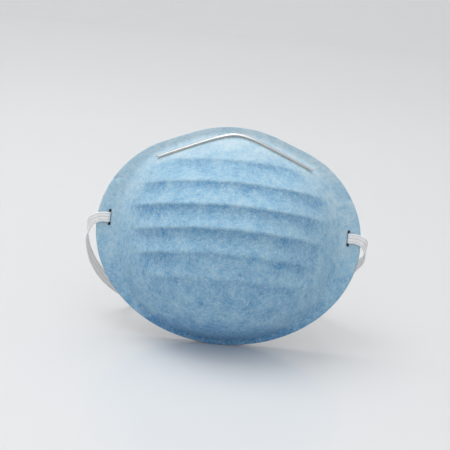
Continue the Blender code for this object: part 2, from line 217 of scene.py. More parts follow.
def rib_phase(x, z):
    """How far down from a rib's crest to the next one, and how fully the ribs are pressed."""
    below_top = TOP_RIB - z - RIB_ARCH * (x / ARCH_REACH) ** 2
    if below_top <= 0:
        return 0.0, 0.0
    root = math.sqrt(RIB_PITCH**2 + 4 * PITCH_GROWTH * below_top)
    rib = (root - RIB_PITCH) / (2 * PITCH_GROWTH)
    if rib >= RIB_COUNT:
        return 0.0, 0.0
    reach = math.hypot(x / RIB_FIELD[0], (z - FIELD_RISE) / RIB_FIELD[1])
    middle, side = EASED_REACH
    eased = smooth_step((rib - 3) / 1.5) * smooth_step((side - abs(x)) / (side - middle))
    return rib % 1, smooth_step((1 - reach) / FIELD_FADE) * (1 - LOW_RIBS_EASED * eased)


def rib_depth(x, z):
    """How far the ribbed surface lies under the plain one: sharp crests, round hollows."""
    phase, pressed = rib_phase(x, z)
    return RIB_DEPTH * math.sin(math.pi * phase**0.8) * pressed


def painted_light_and_shade_at(x, z):
    """Painted light and shade on the felt, from 0 to 1: lighter on the upper cup, over the nose and
    towards the rim at the sides, darker just under each rib's crest and at the chin.
    """
    phase, pressed = rib_phase(x, z)
    upper = smooth_step((z + 0.050) / 0.095)
    brow = smooth_step((z - TOP_RIB + RIB_ARCH * (x / ARCH_REACH) ** 2 + 0.003) / 0.009)
    rim = smooth_step((math.hypot(x / HALF_WIDTH, z / UPPER_HEIGHT) - 0.70) / 0.2)
    chin = smooth_step((-0.040 - z) / 0.013)
    hollow = smooth_step(phase / 0.10) * (1 - phase) ** 1.3 * pressed
    side = rim * smooth_step((z + 0.035) / 0.030)
    # Painted light and shade: upper, brow and side paint light where the cup faces the lamp, hollow
    # paints shade just under each crest, chin paints shade down to the table.
    return 0.28 + 0.30 * upper + 0.14 * brow + 0.16 * side - 0.34 * hollow - 0.55 * chin


def crease_depth(x, z):
    """How far a fold in the flange is pressed in at that place."""
    here, deepest = Vector((x, z)), 0.0
    for start, end in CREASES:
        run = end - start
        along = (here - start).dot(run) / run.length_squared
        aside = (here - start - run * min(1.2, max(-0.6, along))).length / CREASE_WIDTH
        fade = smooth_step((1.2 - along) / 0.8)
        deepest = max(deepest, CREASE_DEPTH * fade * math.exp(-aside * aside))
    return deepest


def grid_place(u, v):
    """Turn round the oval, share of the cup and share of the flange, of a place on a square."""
    ring = max(abs(u), abs(v))
    u, v = min(1.0, max(-1.0, u)), min(1.0, max(-1.0, v))
    x, z = u * math.sqrt(1 - v * v / 2), v * math.sqrt(1 - u * u / 2)
    share = math.hypot(x, z)
    share += (ring - share) * smooth_step((ring - 0.6) / 0.4)
    return math.atan2(z, x), min(1.0, share), max(0.0, ring - 1)


def plain_point(u, v, inset):
    """The unribbed cup's or flange's point of a place on the square."""
    turn, share, outward = grid_place(u, v)
    if outward:
        edge = rim_point(turn)
        return foot_point(turn).lerp(edge * (1 - inset / edge.length), outward)
    foot = foot_point(turn) * share
    return Vector((foot.x, -plain_height(turn, share), foot.z))


def grid_lines(fine):
    """Columns and rows of the square, with a row on each rib's crest."""
    flange = [1 + (ring + 1) / fine["flange"] for ring in range(fine["flange"])]
    columns = [2 * i / fine["columns"] - 1 for i in range(fine["columns"] + 1)]
    chin, nose = foot_point(-math.pi / 2).z, foot_point(math.pi / 2).z
    per_rib = fine["per_rib"]
    levels = [crest_height(i / per_rib) for i in range(RIB_COUNT * per_rib + 1)]
    top, bottom = levels[0] / nose, levels[-1] / -chin
    above = [top + (1 - top) * (i + 1) / fine["nose"] for i in range(fine["nose"])]
    below = [bottom - (1 + bottom) * (i + 1) / fine["chin"] for i in range(fine["chin"])]
    ribbed = [z / nose if z > 0 else z / -chin for z in reversed(levels)]
    outer = [-place for place in reversed(flange)]
    return outer + columns + flange, outer + below[::-1] + ribbed + above + flange


def surface_at(x, z):
    """The cup's outer surface and its outward normal at a point of the front view."""

    def surface_y(px, pz):
        turn = math.atan2(pz / (UPPER_HEIGHT if pz > 0 else LOWER_HEIGHT), px / HALF_WIDTH)
        for _ in range(8):
            foot = foot_point(turn)
            turn += math.atan2(pz, px) - math.atan2(foot.z, foot.x)
        height = plain_height(turn, math.hypot(px, pz) / foot_point(turn).length)
        return rib_depth(px, pz) - height

    step = 0.0004
    across = Vector((2 * step, surface_y(x + step, z) - surface_y(x - step, z), 0))
    upward = Vector((0, surface_y(x, z + step) - surface_y(x, z - step), 2 * step))
    return Vector((x, surface_y(x, z), z)), across.cross(upward).normalized()


# --- Meshes and objects -------------------------------------------------------------------------


def finished(name, work, material, matrix=None):
    """The bmesh as a smooth object of the scene, in the row frame."""
    if matrix:
        bmesh.ops.transform(work, matrix=matrix, verts=work.verts)
    bmesh.ops.recalc_face_normals(work, faces=work.faces)
    mesh = bpy.data.meshes.new(name)
    work.to_mesh(mesh)
    work.free()
    mesh.shade_smooth()
    made = bpy.data.objects.new(name, mesh)
    bpy.context.scene.collection.objects.link(made)
    mesh.materials.append(material)
    return made


def ring_tube(work, rings):
    """A closed tube through rings of equally many points, with flat ends. Its UVs are metres."""
    uv = work.loops.layers.uv.new("UVMap")
    around = len(rings[0][1])
    bmesh.ops.create_grid(work, x_segments=len(rings) - 1, y_segments=around, size=1.0)
    place = {}
    for vertex in work.verts:
        i = round((vertex.co.x + 1) / 2 * (len(rings) - 1))
        k = round((vertex.co.y + 1) / 2 * around)
        place[vertex] = (i, k)
    for face in work.faces:
        for loop in face.loops:
            i, k = place[loop.vert]
            loop[uv].uv = (rings[i][0], k / around)
    for vertex, (i, k) in place.items():
        vertex.co = rings[i][1][k % around]
    bmesh.ops.remove_doubles(work, verts=work.verts, dist=1e-7)
    ends = [edge for edge in work.edges if edge.is_boundary]
    bmesh.ops.holes_fill(work, edges=ends, sides=0)


def spline(points, steps):
    """A smooth curve through the points, with that many steps from each to the next."""
    made = []
    for i in range(len(points) - 1):
        start, end = points[i], points[i + 1]
        before = points[i - 1] if i else start * 2 - end
        after = points[i + 2] if i + 2 < len(points) else end * 2 - start
        for step in range(steps):
            t = step / steps
            cubic = (3 * start - before - 3 * end + after) * t**3
            square = (2 * before - 5 * start + 4 * end - after) * t**2
            made.append((2 * start + (end - before) * t + square + cubic) / 2)
    return [*made, points[-1].copy()]


# --- Materials ----------------------------------------------------------------------------------


class Shader:
    """Builds a material's node tree, one node per call."""

    def __init__(self, name):
        old = bpy.data.materials.get(name)
        if old:
            bpy.data.materials.remove(old)
        self.material = bpy.data.materials.new(name)
        self.material.use_nodes = True
        self.tree = self.material.node_tree
        self.surface = self.tree.nodes["Principled BSDF"]

    def add(self, kind, output=0, inputs=None, **settings):
        made = self.tree.nodes.new(f"ShaderNode{kind}")
        for setting, value in settings.items():
            setattr(made, setting, value)
        for socket, value in (inputs or {}).items():
            self.set(made.inputs[socket], value)
        return made.outputs[output]

    def set(self, socket, value):
        if isinstance(value, bpy.types.NodeSocket):
            self.tree.links.new(value, socket)
        else:
            socket.default_value = value

    def finish(self, **values):
        for socket, value in values.items():
            self.set(self.surface.inputs[socket.replace("_", " ")], value)
        return self.material

    def math(self, operation, first, second=0.0):
        return self.add("Math", inputs={0: first, 1: second}, operation=operation)

    def mapped(self, value, low, high, to_low=0.0, to_high=1.0):
        inputs = {0: value, 1: low, 2: high, 3: to_low, 4: to_high}
        return self.add("MapRange", inputs=inputs, clamp=True)

    def mixed(self, factor, first, second):
        inputs = {0: factor, 6: first, 7: second}
        return self.add("Mix", output=2, inputs=inputs, data_type="RGBA")

    def noise(self, vector, scale, detail=2.0, roughness=0.5):
        inputs = {"Vector": vector, "Scale": scale, "Detail": detail, "Roughness": roughness}
        return self.add("TexNoise", inputs=inputs)

    def turned(self, vector, angles, scale):
        turned = self.add(
            "Mapping", inputs={"Vector": vector, "Rotation": angles}, vector_type="POINT"
        )
        return self.add("Mapping", inputs={"Vector": turned, "Scale": scale}, vector_type="POINT")


def with_alpha(colour):
    return (*colour, 1.0)


def felt(name, dark_tone_and_shade, middle, pale_tone_and_light, fibre, relief, sheen):
    """Needled fibre web: cloudy tone, crossing fibres, and painted light and shade, paler where
    painted lit and darker where painted shaded.
    """
    shader = Shader(name)
    coords = shader.add("TexCoord", output=3)
    clouds = shader.noise(coords, 125, 3, 0.6)
    mottles = shader.noise(coords, 430, 4, 0.65)
    drift = shader.add(
        "VectorMath",
        inputs={0: shader.add("TexNoise", 1, {"Vector": coords, "Scale": 260.0}), 1: (0.5,) * 3},
        operation="SUBTRACT",
    )
    bent = shader.add(
        "VectorMath",
        inputs={0: drift, 1: (0.0022,) * 3, 2: coords},
        operation="MULTIPLY_ADD",
    )
    fibres = None
    for turn, run, thin in ((0.35, 230.0, 1500.0), (1.45, 210.0, 1300.0), (2.5, 250.0, 1700.0)):
        lengthwise = shader.turned(bent, (0.0, turn, 0.0), (run, thin, thin))
        streak = shader.mapped(shader.noise(lengthwise, 1.0, 1.0), 0.56, 0.74)
        fibres = streak if fibres is None else shader.math("MAXIMUM", fibres, streak)
    web = shader.add(
        "TexVoronoi", inputs={"Vector": bent, "Scale": 430.0}, feature="DISTANCE_TO_EDGE"
    )
    fibres = shader.math("MAXIMUM", fibres, shader.mapped(web, 0.0, 0.08, 0.6, 0.0))
    # Painted light and shade, read from the cup's vertices.
    painted_light_and_shade = shader.add("Attribute", 2, attribute_name="painted_light_and_shade")
    grain = shader.math("MULTIPLY", shader.math("ADD", clouds, mottles), 0.9)
    # Painted light and shade plus random cloudy tone pick the felt's colour between its dark and pale
    # ends.
    tone_and_painted_light = shader.math("ADD", painted_light_and_shade, shader.math("SUBTRACT", grain, 0.9))
    ground = shader.mixed(
        shader.mapped(tone_and_painted_light, 0.0, 0.5), with_alpha(dark_tone_and_shade), with_alpha(middle)
    )
    ground = shader.mixed(shader.mapped(tone_and_painted_light, 0.5, 1.0), ground, with_alpha(pale_tone_and_light))
    colour = shader.mixed(shader.math("MULTIPLY", fibres, 0.4), ground, with_alpha(fibre))
    height = shader.math("ADD", shader.math("MULTIPLY", fibres, 0.5), grain)
    bump = shader.add(
        "Bump", inputs={"Strength": relief, "Distance": 0.0005, "Height": height}
    )
    return shader.finish(
        Base_Color=colour,
        Roughness=0.85,
        Specular_IOR_Level=0.3,
        Sheen_Weight=sheen,
        Sheen_Roughness=0.6,
        Sheen_Tint=(0.86, 0.93, 1.0, 1.0),
        Normal=bump,
    )


def braided_elastic(name, colour, groove, ribs):
    """Flat braid: lengthwise ribs of slanting stitches, with shallow grooves between them, coloured
    darker in the grooves and between the stitches as painted shade.
    """
    shader = Shader(name)
    place = shader.add("SeparateXYZ", 0, {0: shader.add("UVMap", uv_map="UVMap")})
    along, around = place, place.node.outputs[1]
    phase = shader.math("FRACT", shader.math("MULTIPLY", around, 2.0 * ribs))
    slant = shader.math("ABSOLUTE", shader.math("SUBTRACT", phase, 0.5))
    stitch = shader.math("ADD", shader.math("MULTIPLY", along, 1150.0), slant)
    stitch = shader.math("ABSOLUTE", shader.math("SUBTRACT", shader.math("FRACT", stitch), 0.5))
    in_groove = shader.mapped(slant, 0.34, 0.5)
    thread = shader.mapped(stitch, 0.0, 0.16, 1.0, 0.0)
    fuzz = shader.noise(shader.add("TexCoord", output=3), 2600, 3, 0.6)
    # Painted shade in the grooves and between the stitches.
    shade = shader.math("MAXIMUM", in_groove, shader.math("MULTIPLY", thread, 0.35))
    shade = shader.math("MULTIPLY", shade, shader.mapped(fuzz, 0.2, 0.8, 0.7, 1.0))
    height = shader.math("SUBTRACT", shader.math("MULTIPLY", fuzz, 0.25), shade)
    return shader.finish(
        Base_Color=shader.mixed(shade, with_alpha(colour), with_alpha(groove)),
        Roughness=0.8,
        Specular_IOR_Level=0.25,
        Sheen_Weight=0.25,
        Sheen_Roughness=0.4,
        Normal=shader.add(
            "Bump", inputs={"Strength": 0.5, "Distance": 0.00015, "Height": height}
        ),
    )


def rolled_metal(name, colour, roughness, grain):
    """Cold-rolled strip: faint grain along X, and soft wear."""
    shader = Shader(name)
    coords = shader.add("TexCoord", output=3)
    lines = shader.noise(shader.turned(coords, (0, 0, 0), (140.0, 9000.0, 9000.0)), 1.0, 2.0)
    wear = shader.noise(coords, 300, 3, 0.6)
    rough = shader.math("ADD", shader.mapped(lines, 0.3, 0.7, -0.06, 0.06), roughness)
    return shader.finish(
        Base_Color=shader.mixed(
            shader.mapped(wear, 0.35, 0.75, 0.0, 0.5),
            with_alpha(colour),
            with_alpha([channel * 0.8 for channel in colour]),
        ),
        Metallic=1.0,
        Roughness=rough,
        Normal=shader.add(
            "Bump", inputs={"Strength": grain, "Distance": 0.00005, "Height": lines}
        ),
    )


def hot_melt(name, colour):
    """Set adhesive: amber, slightly clear, with small lumps."""
    shader = Shader(name)
    lumps = shader.noise(shader.add("TexCoord", output=3), 900, 2)
    return shader.finish(
        Base_Color=with_alpha(colour),
        Roughness=0.35,
        Subsurface_Weight=0.3,
        Subsurface_Scale=0.001,
        Normal=shader.add(
            "Bump", inputs={"Strength": 0.4, "Distance": 0.0002, "Height": lumps}
        ),
    )


# --- Settings -----------------------------------------------------------------------------------


class DustMaskCupSettings(bpy.types.PropertyGroup):
    """What a user would change on the cup."""

    # Painted shade: the dark end of the felt's colour, used under the rib crests, at the chin and in
    # darker cloudy patches.
    dark_tone_and_shade: bpy.props.FloatVectorProperty(
        name="Felt, packed",
        description="Colour of the outer felt where the mould packs it hard",
        default=(0.090, 0.300, 0.560),
        min=0,
        max=1,
        subtype="COLOR",
    )
    middle: bpy.props.FloatVectorProperty(
        name="Felt, middle",
        description="Colour of the outer felt on the ribbed front",
        default=(0.300, 0.540, 0.720),
        min=0,
        max=1,
        subtype="COLOR",
    )
    # Painted light: the pale end of the felt's colour, used on the upper cup, over the nose, at the
    # sides and in paler cloudy patches.
    pale_tone_and_light: bpy.props.FloatVectorProperty(
        name="Felt, lofty",
        description="Colour of the outer felt where it stays loose and pale",
        default=(0.570, 0.730, 0.820),
        min=0,
        max=1,
        subtype="COLOR",
    )
    fibre: bpy.props.FloatVectorProperty(
        name="Felt, loose fibres",
        description="Colour of the fibres that lie on the outer felt",
        default=(0.700, 0.820, 0.880),
        min=0,
        max=1,
        subtype="COLOR",
    )
    lining: bpy.props.FloatVectorProperty(
        name="Lining",
        description="Colour of the white layer against the face",
        default=(0.780, 0.790, 0.780),
        min=0,
        max=1,
        subtype="COLOR",
    )
    unevenness: bpy.props.FloatProperty(
        name="Unevenness",
        description="How far the felt's surface swells and sinks",
        default=0.00012,
        min=0,
        max=0.0005,
        precision=5,
        unit="LENGTH",
    )


class DustMaskTrimSettings(bpy.types.PropertyGroup):
    """What a user would change on the headband, the strip and the clips."""

    elastic: bpy.props.FloatVectorProperty(
        name="Elastic",
        description="Colour of the headband's braid",
        default=(0.900, 0.900, 0.900),
        min=0,
        max=1,
        subtype="COLOR",
    )
    # Painted shade: the darker colour put in the braid's grooves and between its stitches.
    groove: bpy.props.FloatVectorProperty(
        name="Elastic, grooves",
        description="Colour between the ribs of the headband's braid",
        default=(0.580, 0.585, 0.600),
        min=0,
        max=1,
        subtype="COLOR",
    )
    ribs: bpy.props.IntProperty(
        name="Ribs",
        description="Lengthwise ribs across the headband",
        default=4,
        min=2,
        max=12,
    )
    rib_relief: bpy.props.FloatProperty(
        name="Rib relief",
        description="Depth of the grooves between the headband's ribs",
        default=0.00009,
        min=0,
        max=0.0002,
        precision=5,
        unit="LENGTH",
    )
    strip: bpy.props.FloatVectorProperty(
        name="Nose strip",
        description="Colour of the bendable metal",
        default=(0.700, 0.690, 0.680),
        min=0,
        max=1,
        subtype="COLOR",
    )
    adhesive: bpy.props.FloatVectorProperty(
        name="Adhesive",
        description="Colour of the hot melt under the nose strip",
        default=(0.660, 0.640, 0.570),
        min=0,
        max=1,
        subtype="COLOR",
    )
    clip: bpy.props.FloatVectorProperty(
        name="Strap clips",
        description="Colour of the crimped steel",
        default=(0.420, 0.420, 0.430),
        min=0,
        max=1,
        subtype="COLOR",
    )


class DustMaskStageSettings(bpy.types.PropertyGroup):
    """What a user would change on the stage."""

    backdrop: bpy.props.FloatVectorProperty(
        name="Table",
        description="Colour of the table and the backdrop",
        default=(0.770, 0.775, 0.780),
        min=0,
        max=1,
        subtype="COLOR",
    )
    overhead: bpy.props.FloatProperty(
        name="Overhead light",
        description="Power of the soft light above the table",
        default=3.2,
        min=0,
        subtype="POWER",
    )
    low_fill: bpy.props.FloatProperty(
        name="Room light, low",
        description="Strength of the room's light from the horizon and below",
        default=0.25,
        min=0,
        subtype="FACTOR",
    )
    high_fill: bpy.props.FloatProperty(
        name="Room light, high",
        description="Strength of the room's light from straight above",
        default=1.25,
        min=0,
        subtype="FACTOR",
    )
    focal_length: bpy.props.FloatProperty(
        name="Lens",
        description="Focal length of the camera, in millimetres",
        default=85.0,
        min=20,
        max=300,
    )


SETTINGS = {
    "dust_mask_cup": DustMaskCupSettings,
    "dust_mask_trim": DustMaskTrimSettings,
    "dust_mask_stage": DustMaskStageSettings,
}


# --- The stage ----------------------------------------------------------------------------------

CAMERA_RISE = math.radians(2)
CAMERA_ROLL = math.radians(5.13)
CAMERA_DISTANCE = 0.539
CAMERA_TARGET = Vector((-0.00215, 0.0, 0.00523))
TABLE_FRONT, TABLE_FLAT, TABLE_HALF_WIDTH = -4.0, 0.9, 4.0
SWEEP_RADIUS, SWEEP_STEPS = 0.7, 24
BACKDROP_HEIGHT = 2.4
OVERHEAD_PLACE, OVERHEAD_SIDE = (-0.36, 0.12, 0.93), 0.6
OVERHEAD_TURN = (math.radians(-7), math.radians(-21), 0)


def look_through_camera(focal_length):
    """The camera, almost square on to the leaning cup and rolled a little."""
    lens = bpy.data.cameras.new("Camera")
    lens.lens, lens.sensor_width = focal_length, 36.0
    camera = bpy.data.objects.new("Camera", lens)
    bpy.context.scene.collection.objects.link(camera)
    target = placed() @ CAMERA_TARGET
    rise = LEAN + CAMERA_RISE
    away = Vector((0, -math.cos(rise), math.sin(rise)))
    facing = (-away).to_track_quat("-Z", "Y").to_matrix().to_4x4()
    camera.matrix_world = (
        Matrix.Translation(target + away * CAMERA_DISTANCE)
        @ facing
        @ Matrix.Rotation(CAMERA_ROLL, 4, "Z")
    )
    bpy.context.scene.camera = camera
    return camera


def table(colour):
    """A flat table that sweeps up into its own backdrop."""
    rows = [(TABLE_FRONT, 0.0), (0.0, 0.0), (TABLE_FLAT, 0.0)]
    for i in range(1, SWEEP_STEPS + 1):
        turn = math.pi / 2 * i / SWEEP_STEPS
        rows.append((TABLE_FLAT + SWEEP_RADIUS * math.sin(turn), SWEEP_RADIUS * (1 - math.cos(turn))))
    rows.append((TABLE_FLAT + SWEEP_RADIUS, BACKDROP_HEIGHT))
    work = bmesh.new()
    bmesh.ops.create_grid(work, x_segments=1, y_segments=len(rows) - 1, size=1.0)
    for vertex in work.verts:
        y, z = rows[round((vertex.co.y + 1) / 2 * (len(rows) - 1))]
        vertex.co = (vertex.co.x * TABLE_HALF_WIDTH, y, z)
    shader = Shader("table")
    material = shader.finish(Base_Color=with_alpha(colour), Roughness=0.15, Specular_IOR_Level=0.9)
    return finished("table", work, material)


def room(low, high):
    """Soft light from all round that grows brighter towards the ceiling."""
    world = bpy.data.worlds.new("room_light")
    world.use_nodes = True
    nodes, links = world.node_tree.nodes, world.node_tree.links
    direction = nodes.new("ShaderNodeTexCoord")
    parts = nodes.new("ShaderNodeSeparateXYZ")
    ramp = nodes.new("ShaderNodeMapRange")
    ramp.inputs["To Min"].default_value = low
    ramp.inputs["To Max"].default_value = high
    links.new(direction.outputs["Generated"], parts.inputs[0])
    links.new(parts.outputs["Z"], ramp.inputs["Value"])
    links.new(ramp.outputs[0], nodes["Background"].inputs["Strength"])
    nodes["Background"].inputs["Color"].default_value = (0.985, 0.99, 1.0, 1.0)
    return world


class DUSTMASK_OT_stage(bpy.types.Operator):
    """Add the camera, the table and its backdrop, and the lights"""

    bl_idname = "dustmask.stage"
    bl_label = "Stage"

    def execute(self, context):
        settings = context.scene.dust_mask_stage
        camera = look_through_camera(settings.focal_length)
        floor = table(settings.backdrop)
        area = bpy.data.lights.new("overhead_light", "AREA")
        area.shape, area.size = "SQUARE", OVERHEAD_SIDE
        area.energy = settings.overhead
        overhead = bpy.data.objects.new("overhead_light", area)
        overhead.location = OVERHEAD_PLACE
        overhead.rotation_euler = OVERHEAD_TURN
        context.scene.collection.objects.link(overhead)
        context.scene.world = room(settings.low_fill, settings.high_fill)
        context.scene.view_settings.view_transform = "Standard"
        return {"FINISHED"}


# --- The headband -------------------------------------------------------------------------------


def level(point):
    """A point of the leaning cup's frame in the level frame on its centre."""
    return Matrix.Rotation(-LEAN, 3, "X") @ Vector(point)


def band_points(name, side):
    """One side of the headband, as (place, facing, lean), from its clip to the loop's middle."""
    front = -(CLEARANCE + BAND_THICKNESS / 2)
    floor = STACK + CLIP_DEPTH - CLIP_WALL
    drawn = [((SLIT_OUT, floor, SLIT_RISE), -90), ((SLIT_OUT, floor / 2, SLIT_RISE), -90)]
    for step in range(5):
        bend = math.radians(90 * step / 4)
        out = SLIT_OUT + BAND_BEND * (1 - math.cos(bend))
        drawn.append(((out, -BAND_BEND * math.sin(bend), SLIT_RISE), math.degrees(bend) - 90))
    drawn.append(((SLIT_OUT + 0.5 * SLIT_FROM_EDGE, front - 0.0002, SLIT_RISE), 0))
    drawn.append(((HALF_WIDTH - 0.0006, front - 0.0001, SLIT_RISE - 0.0006), 4))
    drawn.append(((HALF_WIDTH + 0.0012, front, SLIT_RISE - 0.0016), 20))
    points = [(level(place), facing, LEAN) for place, facing in drawn]
    hinge = (HINGE_OUT[name], HINGE_BACK, HINGE_HEIGHT, 90)
    free = [*ROUND_THE_RIM[name], hinge, *BEHIND_THE_RIM[name], LOOP_MIDDLE]
    upright = len(ROUND_THE_RIM[name])
    for i, (x, y, z, facing) in enumerate(free):
        points.append((Vector((x, y, z)), facing, LEAN * max(0.0, 1 - (i + 1) / (upright + 1))))
    return [(Vector((side * p.x, p.y, p.z)), facing, lean) for p, facing, lean in points]


def band_line(name, side):
    """A side's smooth centreline and its width direction."""
    points = band_points(name, side)
    route = spline([place for place, _, _ in points], BAND_STEPS_PER_POINT)
    turns = [Vector((facing, lean, 0)) for _, facing, lean in points]
    across = []
    for i, angle in enumerate(spline(turns, BAND_STEPS_PER_POINT)):
        turned = math.radians(angle.x)
        outward = Vector((side * math.sin(turned), -math.cos(turned), 0))
        outward.rotate(Matrix.Rotation(-angle.y, 3, "X"))
        tangent = route[min(i + 1, len(route) - 1)] - route[max(i - 1, 0)]
        across.append(side * outward.cross(tangent).normalized())
    return route, across


def band_section(ribs, relief):
    """Half of the band's section, as (place across, half thickness), from edge to edge."""
    made = []
    for k in range(BAND_POINTS_PER_FACE):
        x = -math.cos(math.pi * k / (BAND_POINTS_PER_FACE - 1))
        x = 0.55 * x + 0.45 * (2 * k / (BAND_POINTS_PER_FACE - 1) - 1)
        body = (1 - abs(x) ** 9) ** 0.5
        groove = relief * (1 - abs(math.sin(math.pi * (x + 1) / 2 * ribs)) ** 0.6)
        made.append((x * BAND_WIDTH / 2, body * (BAND_THICKNESS / 2 - groove) + 0.00002))
    return made


class DUSTMASK_OT_headband(bpy.types.Operator):
    """Thread the elastic headband through both slits, behind the cup and onto the table"""

    bl_idname = "dustmask.headband"
    bl_label = "Headband"

    def execute(self, context):
        settings = context.scene.dust_mask_trim
        left, left_across = band_line("left", -1)
        right, right_across = band_line("right", 1)
        route = left + right[-2::-1]
        across = left_across + right_across[-2::-1]
        centre = cup_centre()
        section = band_section(settings.ribs, settings.rib_relief)
        rings, run, last = [], 0.0, len(route) - 1
        for i, middle in enumerate(route):
            tangent = (route[min(i + 1, last)] - route[max(i - 1, 0)]).normalized()
            side = (across[i] - across[i].dot(tangent) * tangent).normalized()
            face = side.cross(tangent)
            run += (middle - route[max(i - 1, 0)]).length
            place = centre + middle
            front = [place + side * x + face * half for x, half in section]
            back = [place + side * x - face * half for x, half in reversed(section)]
            rings.append((run, front + back))
        work = bmesh.new()
        ring_tube(work, rings)
        material = braided_elastic(
            "white_elastic", settings.elastic, settings.groove, settings.ribs
        )
        band = finished("headband", work, material)
        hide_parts("headband_left_end", "headband_loop", "headband_right_end")
        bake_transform(band)
        return {"FINISHED"}


# --- The cup ------------------------------------------------------------------------------------


def cut_slit(work, side):
    """Cut a slit for the headband through the flat flange."""
    centre = Vector((side * SLIT_OUT, 0.0, SLIT_RISE))
    half = {0: SLIT_WIDTH / 2, 2: SLIT_LENGTH / 2}
    for axis, reach in half.items():
        for sign in (-1, 1):
            normal = Vector((0, 0, 0))
            normal[axis] = sign
            near = [f for f in work.faces if (f.calc_center_median() - centre).length < 0.007]
            nearby = list({part for f in near for part in (*f.verts, *f.edges)})
            bmesh.ops.bisect_plane(
                work,
                geom=near + nearby,
                plane_co=centre + normal * reach,
                plane_no=normal,
                dist=1e-6,
            )
    inside = [
        face
        for face in work.faces
        if all(abs(face.calc_center_median()[a] - centre[a]) < half[a] for a in half)
    ]
    bmesh.ops.delete(work, geom=inside, context="FACES")


def cup_layer(name, depth, thickness, inset, fine, unevenness, material):
    """One moulded layer, its outer face that depth under the cup's outer surface."""
    columns, rows = grid_lines(fine)
    work = bmesh.new()
    bmesh.ops.create_grid(
        work, x_segments=len(columns) - 1, y_segments=len(rows) - 1, size=1.0
    )
    for vertex in work.verts:
        column = round((vertex.co.x + 1) / 2 * (len(columns) - 1))
        row = round((vertex.co.y + 1) / 2 * (len(rows) - 1))
        vertex.co = plain_point(columns[column], rows[row], inset)
    bmesh.ops.remove_doubles(work, verts=work.verts, dist=1e-6)
    for side in (-1, 1):
        cut_slit(work, side)
    work.normal_update()
    for vertex, inward in [(v, -v.normal) for v in work.verts]:
        vertex.co += inward * depth
    outer_face = set(work.verts)
    bmesh.ops.solidify(work, geom=work.faces[:], thickness=thickness)
    work.normal_update()
    # Painted light and shade, kept on each vertex for the layer's colour.
    painted_light_and_shade = work.verts.layers.float.new("painted_light_and_shade")
    for vertex in work.verts:
        x, _, z = vertex.co
        vertex[painted_light_and_shade] = painted_light_and_shade_at(x, z)
        if unevenness and vertex in outer_face:
            swell = noise.fractal(vertex.co * 330, 0.9, 2.1, 3) + 1.5 * noise.noise(vertex.co * 90)
            vertex.co += vertex.normal * swell * unevenness
        vertex.co.y += rib_depth(x, z) + crease_depth(x, z)
    made = finished(name, work, material, placed())
    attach(made, "mask_body")
    return made


class DUSTMASK_OT_cup(bpy.types.Operator):
    """Mould the outer felt, the filter web and the lining of the cup"""

    bl_idname = "dustmask.cup"
    bl_label = "Cup"

    def execute(self, context):
        settings = context.scene.dust_mask_cup
        lining = Vector(settings.lining)
        blues = (settings.dark_tone_and_shade, settings.middle, settings.pale_tone_and_light, settings.fibre)
        # Painted light and shade on the filter web and lining too: lining * 0.9 is the painted-shade
        # end, the lining colour itself the painted-light end.
        whites = (lining * 0.9, lining * 0.97, lining, lining * 1.06)
        outer_felt = felt("blue_nonwoven", *blues, relief=0.6, sheen=0.10)
        web = felt("filter_web", *whites, relief=0.4, sheen=0.1)
        white = felt("white_nonwoven", *whites, relief=0.4, sheen=0.1)
        filter_depth = OUTER_THICKNESS + CLEARANCE
        liner_depth = filter_depth + FILTER_THICKNESS + CLEARANCE
        inset, uneven = INNER_EDGE_INSET, settings.unevenness
        layers = (
            ("outer_felt", "outer_shell", 0.0, OUTER_THICKNESS, 0.0, FINE_CUP, uneven, outer_felt),
            ("filter_web", "filter_layer", filter_depth, FILTER_THICKNESS, inset, PLAIN_CUP, 0, web),
            ("lining", "inner_liner", liner_depth, LINER_THICKNESS, inset, FINE_CUP, uneven, white),
        )
        for name, node, *form, material in layers:
            made = cup_layer(name, *form, material)
            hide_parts(node)
        return {"FINISHED"}


# --- The nose strip -----------------------------------------------------------------------------


def strip_line():
    """The strip's centreline on the cup, its width direction and its outward direction."""
    made = []
    for i in range(STRIP_STEPS + 1):
        x = STRIP_HALF_SPAN * (2 * i / STRIP_STEPS - 1)
        bow = math.hypot(x, STRIP_BEND)
        z = UPPER_HEIGHT - STRIP_BELOW_PEAK - STRIP_SLOPE * (bow - STRIP_BEND)
        foot, normal = surface_at(x, z)
        across = normal.cross(Vector((1, 0, -STRIP_SLOPE * x / bow))).normalized()
        made.append((foot, across, normal))
    return made


def laid_strip(name, width, thickness, lift, corner, trim, material):
    """A strip with rounded corners along the strip's line, its underside lifted off the felt.

    trim is how many steps shorter it is at each end.
    """
    line = strip_line()
    line = line[trim : len(line) - trim]
    half, rise = width / 2, thickness / 2
    corners = [(-half, -rise), (half, -rise), (half, rise), (-half, rise)]
    section = []
    for k, (x, y) in enumerate(corners):
        start = math.pi * (1 + k / 2)
        for step in range(5):
            turn = start + math.pi / 8 * step
            inner = Vector((x - math.copysign(corner, x), y - math.copysign(corner, y)))
            section.append(inner + Vector((math.cos(turn), math.sin(turn))) * corner)
    rings, run = [], 0.0
    for i, (foot, across, normal) in enumerate(line):
        run += (foot - line[max(i - 1, 0)][0]).length
        near_end = min(i, len(line) - 1 - i)
        narrowing = 1 - 0.35 * max(0.0, 1 - near_end / 2) ** 2
        middle = foot + normal * (lift + rise)
        rings.append((run, [middle + across * p.x * narrowing + normal * p.y for p in section]))
    work = bmesh.new()
    ring_tube(work, rings)
    made = finished(name, work, material, placed())
    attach(made, "mask_body")
    return made


